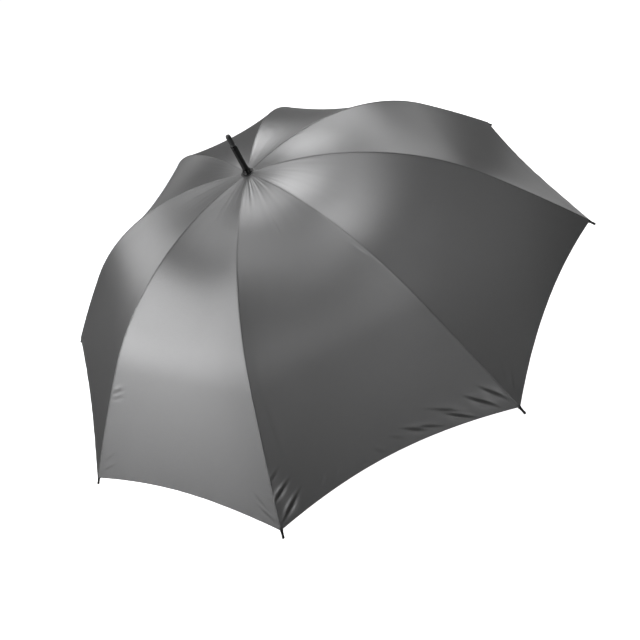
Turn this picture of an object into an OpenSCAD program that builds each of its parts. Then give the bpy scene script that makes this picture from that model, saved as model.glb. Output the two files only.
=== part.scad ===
// Golf umbrella, open, upright, with +Z along the shaft and the origin at the middle of the grip.
// Rib 1 points along -Y, and the others follow anticlockwise.
// Canopy panel k lies between rib k and rib k + 1.

/* [Canopy] */
// Number of ribs and canopy panels
rib_count = 8; // [8]
// Length of a rib's inner stretch, from the crown to the flex point, in mm
rib_inner_len = 350; // [320:5:370]
// Length of the more tightly bent stretch beyond the flex point, in mm
rib_bend_len = 150; // [120:5:170]
// Length of the nearly straight end of a rib, in mm
rib_end_len = 250; // [220:5:270]
// Slope of a rib below the horizontal at the crown, in degrees
slope_crown = -5.3; // [-8:0.1:0]
// Slope at the flex point, in degrees
slope_flex = 29.4; // [26:0.1:32]
// Slope at the end of the tight bend, in degrees
slope_bend = 44.7; // [42:0.1:47]
// Slope at the rib's tip, in degrees
slope_tip = 48.1; // [47:0.1:51]
// How far the middle of a panel sags below the straight line between its ribs, in mm
panel_sag = 14; // [5:1:20]
// How far the hem is cut back between two tips, in mm
hem_scallop = 27; // [20:1:40]
// Thickness of the fabric solids, in mm
fabric_t = 0.4; // [0.4:0.1:0.8]

/* [Ribs and stretchers] */
// Diameter of a rib rod, in mm
rib_d = 3.5; // [3.2:0.1:3.6]
// Diameter of the rod's last, nearly straight stretch, in mm
rib_end_d = 3.1; // [2.6:0.1:3.1]
// Distance along a rib from the crown pivot to the stretcher's rivet, in mm
rivet_s = 342; // [330:1:342]
// How far the rivet lies below the rib's centre line, in mm
rivet_drop = 6; // [5.6:0.1:7]
// Height of a stretcher bar, in mm
stretcher_h = 4; // [3:0.1:4]
// Width of a stretcher bar, in mm
stretcher_w = 3.2; // [2.6:0.1:3.6]
// Length of a rib tip beyond the fabric, in mm
tip_reach = 17; // [12:1:22]

/* [Shaft] */
// Outer diameter of the shaft, in mm
shaft_d = 14; // [13.6:0.1:14.2]
// Wall thickness of the shaft, in mm
shaft_wall = 0.6; // [0.6:0.1:1]
// Height of the crown pivots above the middle of the grip, in mm
crown_z = 840; // [830:1:880]
// Distance of the crown and runner pivots from the shaft's axis, in mm
pivot_r = 12.5; // [12.4:0.1:13]
// Length of the ferrule above the crown, without its tip, in mm
ferrule_len = 65; // [50:1:80]
// Length of the ferrule's tip, in mm
ferrule_tip_len = 27; // [20:1:35]

/* [Handle] */
// Length of the foam grip, in mm
grip_len = 144; // [130:1:146]
// Outer diameter of the foam grip, in mm
grip_d = 33; // [30:0.5:36]

/* [Hidden] */
$fn = 48;

step_az = 360 / rib_count;       // angle between neighbouring ribs
half_az = step_az / 2;
rib_r = rib_d / 2;
shaft_r = shaft_d / 2;
shaft_bore_r = shaft_r - shaft_wall;
rib_len = rib_inner_len + rib_bend_len + rib_end_len;

// ---- the rib's curve: three arcs that meet smoothly, in the plane (distance from the axis, height) ----
arc_len = [rib_inner_len, rib_bend_len, rib_end_len];
arc_slope = [slope_crown, slope_flex, slope_bend, slope_tip];
function arc_radius(i) = arc_len[i] / ((arc_slope[i + 1] - arc_slope[i]) * PI / 180);
function arc_dir(slope) = [sin(slope), cos(slope)];
function arc_centre(i) = arc_start(i) - arc_radius(i) * arc_dir(arc_slope[i]);
function arc_start(i) =
    i == 0 ? [pivot_r, crown_z] : arc_centre(i - 1) + arc_radius(i - 1) * arc_dir(arc_slope[i]);
function arc_from(i) = i == 0 ? 0 : arc_from(i - 1) + arc_len[i - 1];
function arc_of(s) = s <= arc_from(1) ? 0 : s <= arc_from(2) ? 1 : 2;
function slope_in(i, s) = arc_slope[i] + (s - arc_from(i)) / arc_radius(i) * 180 / PI;
function slope_at(s) = slope_in(arc_of(s), s);
// A point at distance s along the rib, lifted by h above its centre line
function rib_point(s, h = 0) =
    let (i = arc_of(s)) arc_centre(i) + (arc_radius(i) + h) * arc_dir(slope_at(s));

rivet = rib_point(rivet_s, -rivet_drop);
stretcher_len = norm(rivet - [pivot_r, crown_z]);
runner_z = 2 * rivet[1] - crown_z;          // the stretcher mirrors the rib's inner stretch
closed_slope = 87;                          // slope of crown to rivet when the umbrella is folded

// ---- clearances and small parts ----
press_gap = 0.03;      // between pieces that are pressed or glued together
run_gap = 0.05;        // radial gap of a pin in its hole
slot_gap = 0.3;        // each side of a tongue in its slot
fabric_gap = 0.3;      // each side of a seam between fabric solids
fabric_lift = 3.2;     // height of the fabric's inner face above the rib's centre line
tongue_t = 2;          // thickness of the flattened ends of ribs and stretchers
eye_r = 2.2;           // outer radius of those ends
wire_r = 0.8;          // radius of the crown and runner wires
rivet_r = 0.9;         // radius of a rivet
head_r = 15.5;         // radius of the crown and of the runner's head
slot_w = tongue_t + 2 * slot_gap;
runner_slot_w = stretcher_w + 2 * slot_gap;    // the whole stretcher passes through the runner's slots
slot_bottom_r = pivot_r - eye_r - 0.4;
flex_gap = 1.0;        // gap between the rib's two stretches at the flex point

crown_low = -5.4;      // the crown's lower and upper faces, from the pivots
crown_high = 2.4;
crown_neck_r = 9.4;    // the crown's narrower neck below the ribs' slots
crown_neck_len = 10;
runner_head_half = 6;
runner_sleeve_r = 9.7;
runner_bore_r = shaft_r + 0.25;
runner_sleeve_low = -55;
runner_lip = 4;        // unslotted lip at each end of the runner, which the catches hold

catch_w = 2;           // thickness of a catch
strap_panel = 5;       // the strap is sewn to the hem of this panel
catch_az = rib_az(strap_panel) + half_az;    // the catches look out on the strap's side
catch_pin_r = 1.2;
catch_pin_at = [-1.5, -43];
top_catch_z = runner_z + runner_sleeve_low - 0.5;
runner_closed_z = crown_z - 2 * stretcher_len * sin(closed_slope);
bottom_catch_z = runner_closed_z + runner_head_half + 0.5;

crown_pin_r = 1;
crown_pin_z = crown_z + crown_low - crown_neck_len / 2;
patch_z = crown_z + fabric_lift + fabric_t + 0.8;
cap_z = patch_z + 0.7;
ferrule_z = cap_z + 4.2;
shaft_top_z = ferrule_z + 4;
ferrule_r = 6.6;
spigot_r = 3;

core_r = 11.5;
grip_low = -grip_len / 2;
grip_high = grip_len / 2;

function rib_az(k) = -90 + (k - 1) * step_az;

module at_rib(k) { rotate([0, 0, rib_az(k)]) children(); }
module at_panel(k) { rotate([0, 0, rib_az(k) + half_az]) children(); }
// A cylinder centred on (x, z) with its axis across the rib's plane
module cross_pin(x, z, r, h) {
    translate([x, 0, z]) rotate([90, 0, 0]) cylinder(r = r, h = h, center = true);
}
module ring(r_in, r_out, h) {
    difference() {
        cylinder(r = r_out, h = h);
        translate([0, 0, -1]) cylinder(r = r_in, h = h + 2);
    }
}

// ---- shaft group ----
module shaft() {
    color("dimgray") difference() {
        translate([0, 0, grip_low - 2]) ring(shaft_bore_r, shaft_r, shaft_top_z - grip_low + 2);
        rotate([0, 0, catch_az]) {
            catch_window(top_catch_z, 1);
            catch_window(bottom_catch_z, -1);
            for (z = catch_pin_heights()) cross_pin(catch_pin_at[0], z, catch_pin_r + press_gap, 40);
        }
        rotate([0, 0, catch_az]) cross_pin(0, crown_pin_z, crown_pin_r + press_gap, 40);
    }
}
// The slot in the shaft's wall that a catch looks out of; dir is 1 for the top catch, -1 for the bottom one
module catch_window(z, dir) {
    translate([0, -slot_w / 2, dir > 0 ? z - 38 : z - 2]) cube([shaft_r + 2, slot_w, 40]);
}
function catch_pin_heights() = [top_catch_z + catch_pin_at[1], bottom_catch_z - catch_pin_at[1]];

module crown() {
    color("black") difference() {
        union() {
            translate([0, 0, crown_z + crown_low]) cylinder(r = head_r, h = crown_high - crown_low);
            translate([0, 0, crown_z + crown_low - crown_neck_len])
                cylinder(r = crown_neck_r, h = crown_neck_len);
        }
        translate([0, 0, crown_z - 30]) cylinder(r = shaft_r + press_gap, h = 60);
        for (k = [1:rib_count]) at_rib(k) head_slot(crown_z, slot_w);
        wire_ring(crown_z, wire_r + run_gap);
        rotate([0, 0, catch_az]) cross_pin(0, crown_pin_z, crown_pin_r + press_gap, 40);
    }
}
// A slot right through a head, open at its rim
module head_slot(z, w) {
    translate([slot_bottom_r, -w / 2, z - 20]) cube([20, w, 40]);
}
// A ring of wire that is the pivot of all the ribs or stretchers
module wire_ring(z, r) {
    translate([0, 0, z]) rotate_extrude() translate([pivot_r, 0]) circle(r = r);
}
module crown_wire() { color("silver") wire_ring(crown_z, wire_r); }
module crown_pin() {
    color("silver") rotate([0, 0, catch_az]) cross_pin(0, crown_pin_z, crown_pin_r, 2 * crown_neck_r - 1);
}
// The fabric disc over the gathered points of the panels
module crown_patch() { color("dimgray") translate([0, 0, patch_z]) ring(shaft_r + 0.2, 15, 0.6); }
module rosette_cap() {
    color("black") translate([0, 0, cap_z]) difference() {
        union() {
            cylinder(r1 = 10.4, r2 = 10.6, h = 1.4);
            translate([0, 0, 1.4]) cylinder(r1 = 10.6, r2 = 8.8, h = 2.6);
        }
        translate([0, 0, -1]) cylinder(r = shaft_r + press_gap, h = 10);
    }
}
module ferrule() {
    body_z = ferrule_z + 12;
    color("black") difference() {
        union() {
            translate([0, 0, ferrule_z]) cylinder(r1 = 9.2, r2 = 7.4, h = 4);
            translate([0, 0, ferrule_z + 4]) cylinder(r1 = 7.4, r2 = ferrule_r, h = 8);
            translate([0, 0, body_z]) cylinder(r = ferrule_r, h = ferrule_len - 12);
            translate([0, 0, shaft_top_z - 22]) cylinder(r = shaft_bore_r - press_gap, h = 24);
        }
        translate([0, 0, shaft_top_z - 25])
            ring(shaft_bore_r - press_gap, shaft_r + press_gap, 25 + press_gap);
        translate([0, 0, ferrule_z + ferrule_len - 9]) cylinder(r = spigot_r + press_gap, h = 10);
    }
}
module ferrule_tip() {
    tip_r = 5.5;
    round_r = 2.5;
    color("black") translate([0, 0, ferrule_z + ferrule_len + press_gap]) {
        rotate_extrude() {
            square([tip_r, ferrule_tip_len - round_r]);
            square([tip_r - round_r, ferrule_tip_len]);
            translate([tip_r - round_r, ferrule_tip_len - round_r]) intersection() {
                circle(r = round_r);
                square(round_r);
            }
        }
        translate([0, 0, -8]) cylinder(r = spigot_r, h = 9);
    }
}
// The ring that stops the runner just under the crown
module upper_stop() {
    color("black") translate([0, 0, runner_z + runner_head_half + 1.5]) ring(shaft_r + press_gap, 9, 4);
}
module catch_pins() {
    color("silver") rotate([0, 0, catch_az])
        for (z = catch_pin_heights()) cross_pin(catch_pin_at[0], z, catch_pin_r, 2 * shaft_r - 1);
}
// A bent leaf behind each catch that pushes it out of the shaft
module catch_springs() {
    leaf = [[-5.7, -32], [-5.3, -32], [-3.4, -22], [-0.9, -12], [-0.9, -11], [-1.4, -11], [-3.9, -22]];
    color("silver") rotate([0, 0, catch_az]) {
        translate([0, 0, top_catch_z]) flat_part(leaf, 1.6);
        translate([0, 0, bottom_catch_z]) mirror([0, 0, 1]) flat_part(leaf, 1.6);
    }
}
// A plate of thickness t drawn in the plane (distance from the axis, height)
module flat_part(points, t) { rotate([90, 0, 0]) linear_extrude(height = t, center = true) polygon(points); }

// ---- handle ----
module handle_core() {
    color("black") translate([0, 0, grip_low]) ring(shaft_r + press_gap, core_r, grip_len + 2);
}
module grip() {
    round_r = 3;
    color("#2a2a2a") difference() {
        rotate_extrude() {
            translate([0, grip_low + round_r]) square([grip_d / 2, grip_len - 2 * round_r]);
            translate([0, grip_low]) square([grip_d / 2 - round_r, grip_len]);
            for (z = [grip_low + round_r, grip_high - round_r])
                translate([grip_d / 2 - round_r, z]) circle(r = round_r);
        }
        translate([0, 0, grip_low - 1]) cylinder(r = core_r + press_gap, h = grip_len + 2);
    }
}
module handle_collar() {
    color("black") translate([0, 0, grip_high + 2.1]) difference() {
        union() {
            cylinder(r = 14, h = 2);
            translate([0, 0, 2]) cylinder(r1 = 14, r2 = 9, h = 6);
        }
        translate([0, 0, -1]) cylinder(r = shaft_r + press_gap, h = 12);
    }
}
module end_cap() {
    cap_r = grip_d / 2 - 0.4;
    round_r = 4;
    color("black") translate([0, 0, grip_low - 9]) rotate_extrude() {
        translate([0, round_r]) square([cap_r, 6.9 - round_r]);
        square([cap_r - round_r, 6.9]);
        translate([cap_r - round_r, round_r]) circle(r = round_r - 0.001);
    }
}

// ---- runner ----
module runner() {
    color("black") translate([0, 0, runner_z]) difference() {
        union() {
            translate([0, 0, -runner_head_half]) cylinder(r = head_r, h = 2 * runner_head_half);
            translate([0, 0, runner_sleeve_low]) cylinder(r = runner_sleeve_r, h = -runner_sleeve_low);
        }
        translate([0, 0, -100]) cylinder(r = runner_bore_r, h = 200);
        for (k = [1:rib_count]) at_rib(k) head_slot(0, runner_slot_w);
        for (i = [0:5]) translate([0, 0, runner_sleeve_low + 8 + 5 * i]) ring(runner_sleeve_r - 0.5, 12, 2);
        wire_ring(0, wire_r + run_gap);
        rotate([0, 0, catch_az]) translate([0, -1.6, runner_sleeve_low + runner_lip])
            cube([11.2, 3.2, runner_head_half - runner_sleeve_low - 2 * runner_lip]);
    }
}
// The runner's wire is open at the slots, where the linkage's loop is opened
module runner_wire() {
    color("silver") difference() {
        wire_ring(runner_z, wire_r);
        for (k = [1:rib_count]) at_rib(k) head_slot(runner_z, runner_slot_w);
    }
}
// The end face slopes, so that it stays clear of the runner as the catch is pressed in
catch_outline = [[-3.5, -46], [0.5, -46], [6.5, -30], [7, -25], [10.3, -2.7], [10.3, -1.2], [-0.5, 0],
                 [-0.5, -37], [-3.5, -40]];
module catch_body() {
    difference() {
        flat_part(catch_outline, catch_w);
        cross_pin(catch_pin_at[0], catch_pin_at[1], catch_pin_r + run_gap, 10);
    }
}
module top_catch() { color("silver") rotate([0, 0, catch_az]) translate([0, 0, top_catch_z]) catch_body(); }
module bottom_catch() {
    color("silver") rotate([0, 0, catch_az]) translate([0, 0, bottom_catch_z]) mirror([0, 0, 1]) catch_body();
}

// ---- ribs ----
// A round rod along one of the rib's arcs, from distance s0 to s1
module rib_rod(i, s0, s1, r = rib_r) {
    c = arc_centre(i);
    a0 = slope_in(i, s0);
    a1 = slope_in(i, s1);
    translate([c[0], 0, c[1]]) rotate([90, 0, 0]) rotate([0, 0, 90 - a1])
        rotate_extrude(angle = a1 - a0) translate([arc_radius(i), 0]) circle(r = r);
}
// Puts its children at a point on the rib, with X along the rib and Z away from the shaft
module on_rib(s, h = 0) {
    p = rib_point(s, h);
    translate([p[0], 0, p[1]]) rotate([0, slope_at(s), 0]) children();
}
module rib_inner(k) {
    color("#303030") at_rib(k) {
        difference() {
            union() {
                rib_rod(0, 7, rib_inner_len - flex_gap);
                translate([pivot_r, 0, crown_z]) rotate([0, slope_crown, 0])
                    translate([0, -tongue_t / 2, -1.5]) cube([9, tongue_t, 3]);
                cross_pin(pivot_r, crown_z, eye_r, tongue_t);
            }
            cross_pin(pivot_r, crown_z, wire_r + run_gap, 10);
        }
        rivet_clip();
        cross_pin(rivet[0], rivet[1], rivet_r, 5.6);
    }
}
// The sleeve crimped on the rib, with two ears that hold the stretcher's rivet
module rivet_clip() {
    ear_t = 1;
    ear_in = tongue_t / 2 + 0.25;
    difference() {
        union() {
            rib_rod(0, rivet_s - 7, rivet_s + 7, rib_r + 0.8);
            for (side = [-1, 1]) on_rib(rivet_s)
                translate([-2.4, side * (ear_in + ear_t / 2) - ear_t / 2, -rivet_drop - 2.2])
                    cube([4.8, ear_t, rivet_drop + 1.2]);
        }
        rib_rod(0, rivet_s - 9, rivet_s + 9, rib_r + press_gap);
        cross_pin(rivet[0], rivet[1], rivet_r + press_gap, 20);
    }
}
module rib_outer(k) {
    color("#303030") at_rib(k) {
        rib_rod(1, rib_inner_len + flex_gap, rib_inner_len + rib_bend_len);
        rib_rod(2, rib_inner_len + rib_bend_len, rib_len - 2, rib_end_d / 2);
        rib_tip();
    }
}
// The tip pushed over the rib's end, with a flange that the panels' corners are sewn to
module rib_tip() {
    tip_r = 2;
    sleeve_r = 2.5;
    sleeve_len = 12;
    wall_end = 1.4;
    on_rib(rib_len) rotate([0, 90, 0]) rotate_extrude() difference() {
        union() {
            translate([0, -sleeve_len]) square([sleeve_r, sleeve_len + 2]);
            square([tip_r, tip_reach - tip_r]);
            translate([0, tip_reach - tip_r]) intersection() {
                circle(r = tip_r);
                square(tip_r);
            }
        }
        translate([-1, -2 * sleeve_len]) square([1 + rib_r + 0.15, 2 * sleeve_len - wall_end]);
    }
}
module stretcher(k) {
    eye_low = [pivot_r, runner_z];
    tilt = atan2(rivet[1] - runner_z, rivet[0] - pivot_r);
    bar_from = 7;
    channel_wall = 0.6;
    color("#303030") at_rib(k) translate([eye_low[0], 0, eye_low[1]]) rotate([0, -tilt, 0]) difference() {
        union() {
            translate([0, -tongue_t / 2, -1.5]) cube([stretcher_len, tongue_t, 3]);
            translate([bar_from, -stretcher_w / 2, -stretcher_h / 2])
                cube([stretcher_len - 2 * bar_from, stretcher_w, stretcher_h]);
            for (x = [0, stretcher_len]) cross_pin(x, 0, eye_r, tongue_t);
        }
        translate([2 * bar_from, -stretcher_w / 2 + channel_wall, -stretcher_h])
            cube([stretcher_len - 4 * bar_from, stretcher_w - 2 * channel_wall, stretcher_h + 1.2]);
        for (x = [0, stretcher_len]) cross_pin(x, 0, rivet_r + run_gap, 10);
    }
}

// ---- canopy ----
apex_s = -3;                               // the panels' inner points, just inside the pivots
function sag_at(s) = panel_sag * sin(180 * max(0, min(1, (s - apex_s) / (rib_len - apex_s))));
// Corner points of a panel solid: u runs from rib to rib, -1 to 1; h is the height above the rib's line
function panel_point(s, u, h) =
    let (cut = hem_scallop * (1 - u * u) * pow(max(0, s) / rib_len, 3),
         t = s - cut,
         p = rib_point(t, h),
         drop = sag_at(t) * (1 - u * u),
         side = p[0] * sin(half_az) - fabric_gap)
    [p[0] * cos(half_az) - drop * sin(slope_at(t)), u * side, p[1] - drop * cos(slope_at(t))];
// One thin curved sheet of a panel between distances s0 and s1, with its two faces and four edges
module panel_sheet(s0, s1, rows, cols) {
    grid = [for (h = [fabric_lift, fabric_lift + fabric_t], i = [0:rows], j = [0:cols])
        panel_point(s0 + (s1 - s0) * i / rows, -1 + 2 * j / cols, h)];
    w = cols + 1;
    top = (rows + 1) * w;
    function quad(a, b, c, d) = [[a, b, c], [a, c, d]];
    inner_face = [for (i = [0:rows - 1], j = [0:cols - 1])
        each quad(i * w + j, i * w + j + 1, (i + 1) * w + j + 1, (i + 1) * w + j)];
    outer_face = [for (f = inner_face) [top + f[2], top + f[1], top + f[0]]];
    end_faces = [for (j = [0:cols - 1])
        each concat(quad(j + 1, j, top + j, top + j + 1),
                    quad(rows * w + j, rows * w + j + 1, top + rows * w + j + 1, top + rows * w + j))];
    side_faces = [for (i = [0:rows - 1])
        each concat(quad(i * w, (i + 1) * w, top + (i + 1) * w, top + i * w),
                    quad((i + 1) * w + cols, i * w + cols, top + i * w + cols, top + (i + 1) * w + cols))];
    polyhedron(points = grid, faces = concat(inner_face, outer_face, end_faces, side_faces), convexity = 4);
}
module canopy_inner(k) { color("gray") at_panel(k) panel_sheet(apex_s, rib_inner_len - fabric_gap, 7, 6); }
module canopy_outer(k) { color("gray") at_panel(k) panel_sheet(rib_inner_len + fabric_gap, rib_len, 9, 8); }

strap_w = 26;
strap_len = 190;
// The strap that ties the folded canopy: a flat band that lies along the inside of its panel
module tie_strap() {
    s_from = rib_len - hem_scallop - 8;
    band_t = 0.8;
    color("dimgray") at_panel(strap_panel) {
        p = panel_point(s_from, 0, fabric_lift - 1.2);
        q = panel_point(s_from - strap_len, 0, fabric_lift - 1.2);
        tilt = atan2(q[2] - p[2], p[0] - q[0]);
        translate([q[0], 0, q[2] - 5]) rotate([0, tilt, 0]) translate([0, -strap_w / 2, -band_t])
            cube([norm(p - q), strap_w, band_t]);
    }
}

shaft();
crown();
crown_wire();
crown_pin();
crown_patch();
rosette_cap();
ferrule();
ferrule_tip();
upper_stop();
catch_pins();
catch_springs();
handle_core();
grip();
handle_collar();
end_cap();
runner();
runner_wire();
top_catch();
bottom_catch();
tie_strap();
for (k = [1:rib_count]) {
    rib_inner(k);
    rib_outer(k);
    stretcher(k);
    canopy_inner(k);
    canopy_outer(k);
}
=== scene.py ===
import math

import bmesh
import bpy
import numpy as np
from mathutils import Matrix, Vector


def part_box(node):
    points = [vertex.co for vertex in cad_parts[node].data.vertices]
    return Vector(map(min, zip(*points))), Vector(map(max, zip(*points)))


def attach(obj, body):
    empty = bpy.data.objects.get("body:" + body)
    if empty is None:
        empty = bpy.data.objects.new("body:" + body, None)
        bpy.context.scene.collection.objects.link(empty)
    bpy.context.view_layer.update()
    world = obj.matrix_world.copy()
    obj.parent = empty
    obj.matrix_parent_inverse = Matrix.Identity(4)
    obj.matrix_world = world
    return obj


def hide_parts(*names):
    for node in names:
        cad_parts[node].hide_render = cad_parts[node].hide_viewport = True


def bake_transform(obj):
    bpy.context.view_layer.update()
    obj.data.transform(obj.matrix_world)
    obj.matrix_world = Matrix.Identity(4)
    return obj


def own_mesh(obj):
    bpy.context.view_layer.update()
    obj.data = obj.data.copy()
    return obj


# Golf umbrella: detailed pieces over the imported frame, with +Z along the shaft.
# The pieces' lengths are in millimetres, and the camera, materials, floor and lights are in metres.
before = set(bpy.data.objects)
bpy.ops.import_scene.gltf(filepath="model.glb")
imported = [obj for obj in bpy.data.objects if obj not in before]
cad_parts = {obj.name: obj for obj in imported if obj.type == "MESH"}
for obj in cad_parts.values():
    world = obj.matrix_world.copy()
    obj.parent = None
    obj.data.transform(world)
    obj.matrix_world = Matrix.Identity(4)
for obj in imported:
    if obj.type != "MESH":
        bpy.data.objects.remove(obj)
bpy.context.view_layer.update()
scene = bpy.context.scene

# ---- camera ----
AIM = Vector((-0.0167, -0.0077, 0.3867))
CAMERA_DISTANCE = 2.0483
CAMERA_AZIMUTH = math.radians(24.79)
CAMERA_ELEVATION = math.radians(41.49)
CAMERA_ROLL = math.radians(29.20)
CAMERA_LENS = 47.02
CAMERA_SENSOR = 36


def add_camera():
    back = Vector((math.sin(CAMERA_AZIMUTH) * math.cos(CAMERA_ELEVATION),
                   -math.cos(CAMERA_AZIMUTH) * math.cos(CAMERA_ELEVATION),
                   math.sin(CAMERA_ELEVATION)))
    data = bpy.data.cameras.new("camera")
    data.lens = CAMERA_LENS
    data.sensor_width = CAMERA_SENSOR
    data.clip_start = 0.05
    data.clip_end = 100
    camera = bpy.data.objects.new("camera", data)
    scene.collection.objects.link(camera)
    camera.rotation_mode = "QUATERNION"
    level = (-back).to_track_quat("-Z", "Y")
    camera.rotation_quaternion = level @ Matrix.Rotation(-CAMERA_ROLL, 3, "Z").to_quaternion()
    camera.location = AIM + back * CAMERA_DISTANCE
    scene.camera = camera


add_camera()

# ---- dimensions shared with the CAD model, in mm ----
MM = 0.001
RIBS = 8
RIB_AZ = -90.0             # rib k points STEP (k - 1) degrees further round than this
STEP = 360.0 / RIBS
HALF = math.radians(STEP / 2)
ARC_LEN = (350.0, 150.0, 250.0)
ARC_SLOPE = np.radians((-5.3, 29.4, 44.7, 48.1))
PIVOT = np.array((12.5, 840.0))
RIB_LEN = sum(ARC_LEN)
FLEX_S = ARC_LEN[0]
FABRIC_LIFT = 3.2
FABRIC_T = 0.35
PATCH_Z = 844.4
CAP_Z = 845.1
FERRULE_Z = 849.3
FERRULE_LEN = 65.0
FERRULE_TIP_LEN = 27.0
SHAFT_HOLE_R = 7.2         # hole of the cap and the collar, round the shaft
GRIP_HALF = 72.0
GRIP_R = 16.5
RIVET_S = 342.0
RIVET_DROP = 6.0
STRAP_PANEL = 5
STRAP_W = 26.0
STRAP_LEN = 190.0


# ---- the rib's curve and the panels ----
def rib_curve(s, h=0.0):
    """Distance from the axis, height and slope at distances s along a rib, h above its line."""
    s = np.asarray(s, float)
    start = PIVOT.copy()
    from_s = 0.0
    arcs = []
    for i, length in enumerate(ARC_LEN):
        radius = length / (ARC_SLOPE[i + 1] - ARC_SLOPE[i])
        centre = start - radius * np.array((math.sin(ARC_SLOPE[i]), math.cos(ARC_SLOPE[i])))
        slope = ARC_SLOPE[i] + (s - from_s) / radius
        distance = centre[0] + (radius + h) * np.sin(slope)
        height = centre[1] + (radius + h) * np.cos(slope)
        arcs.append((distance, height, slope))
        start = centre + radius * np.array((math.sin(ARC_SLOPE[i + 1]), math.cos(ARC_SLOPE[i + 1])))
        from_s += length
    which = (s > ARC_LEN[0]).astype(int) + (s > ARC_LEN[0] + ARC_LEN[1])
    return tuple(np.choose(which, values) for values in zip(*arcs))


def azimuth(k):
    return math.radians(RIB_AZ + STEP * (k - 1))


def turned(radial, across, height, angle):
    """World points from distances along and across a direction at the given azimuth, in metres."""
    c, s = math.cos(angle), math.sin(angle)
    return np.stack([radial * c - across * s, radial * s + across * c, height], -1) * MM


PANEL_SAG = 11.0           # how far a panel hangs below its two ribs' plane at its middle
SAG_START = 3.0            # the sag starts this far before the crown
# how far each panel's hem is cut back between its two tips
HEM_CUT = (32.0, 24.0, 25.0, 26.0, 26.0, 26.0, 22.0, 22.0)
# how strongly each panel puckers round the crown
PUCKER = (0.85, 0.4, 0.3, 0.35, 0.35, 0.45, 0.45, 0.5)
PUCKER_RISE = 0.0065       # height of the puckers as a share of the distance from the axis
PUCKER_REACH = 68.0
RIPPLE = 0.13              # ripples that the seams' stitching draws in
RIPPLE_REACH = 9.0
DRAG = 0.12                # shallow drag lines beside the seams, which the tension pulls along the ribs
DRAG_LINES = ((26, 11.0, 1.0), (52, 13.0, 0.6))     # distance from the seam, width and strength
GATHER = 0.22              # small gathers along the hem
GATHER_REACH = 13.0
SLACK = 0.28               # slow unevenness of the tensioned cloth
SEAM_MARGIN = 3.0          # all of these die out this close to a seam, because the seams lie on the ribs
# folds that stand out, by panel: distance from the crown, distance across from the panel's middle line,
# direction from the rib's line in degrees, half length, half width and height
FOLDS = {
    1: (
        (705, 213, 40, 21, 5.4, 1.9),
        (716, 188, 47, 23, 6.2, 2.3),
        (730, 141, 56, 23, 5.6, 2.0),
        (712, 128, 60, 32, 7.0, 0.9),
        (723, 58, 54, 20, 5.4, 1.5),
        (729, 84, 62, 22, 5.0, 0.9),
        (722, 22, 48, 14, 5.0, 0.4),
        (730, -18, 34, 13, 4.5, 0.55),
        (738, -48, 18, 9, 3.6, 0.4),
        (730, -72, -20, 12, 4.0, 0.35),
        (725, -102, -30, 12, 4.5, 0.3),
        (720, -131, -38, 14, 5.0, 0.3),
        (687, -213, 115, 21, 5.4, 1.7),
        (723, -208, 121, 26, 5.6, 1.9),
        (655, -216, 118, 20, 6.0, 0.7),
        (560, -168, 172, 90, 9.0, 0.2),
        (340, 123, 24, 26, 4.5, 0.3),
        (189, 5, 2, 26, 3.2, 0.3),
    ),
    3: (
        (132, 50, 1, 18, 3.0, 0.35),
    ),
    4: (
        (150, 22, 82, 30, 2.8, 0.6),
        (164, 25, 84, 36, 2.8, 0.7),
        (184, 34, 92, 30, 3.0, 0.5),
    ),
    7: (
        (556, 172, 60, 14, 4.0, 0.4),
    ),
    8: (
        (541, -174, 112, 19, 4.6, 1.0),
        (555, -174, 103, 17, 4.4, 0.8),
    ),
}
# how strongly the corners of each panel pull into folds; panel 1's are among the folds above
CORNER_PULL = (0.0, 0.25, 0.7, 0.9, 1.0, 0.9, 0.6, 0.3)


def corner_folds(k):
    """Two folds that fan out from each of a panel's corners, a little different each time."""
    pull = CORNER_PULL[k - 1]
    for side in (-1, 1):
        vary = math.sin(2.4 * k + side)
        lean = 122 if side < 0 else 58
        yield 724 + 3 * vary, side * (208 + 4 * vary), lean + 6 * vary, 22, 5.0, 0.65 * pull
        yield 700 + 5 * vary, side * (201 - 3 * vary), lean - 4 * vary, 24, 6.5, 0.4 * pull


def fold_height(s, across, centre_s, centre_x, angle, half_len, half_width, height):
    """A steep fold between a low ridge and a low valley, fading out towards its ends."""
    a = math.radians(angle)
    along = (s - centre_s) * math.cos(a) + (across - centre_x) * math.sin(a)
    side = -(s - centre_s) * math.sin(a) + (across - centre_x) * math.cos(a)
    fade = np.exp(-(along / half_len) ** 2 * 1.4)
    place = side / (half_width * (0.3 + 0.25 * fade))
    return height * fade * place * np.exp(1 - np.abs(place))


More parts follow.
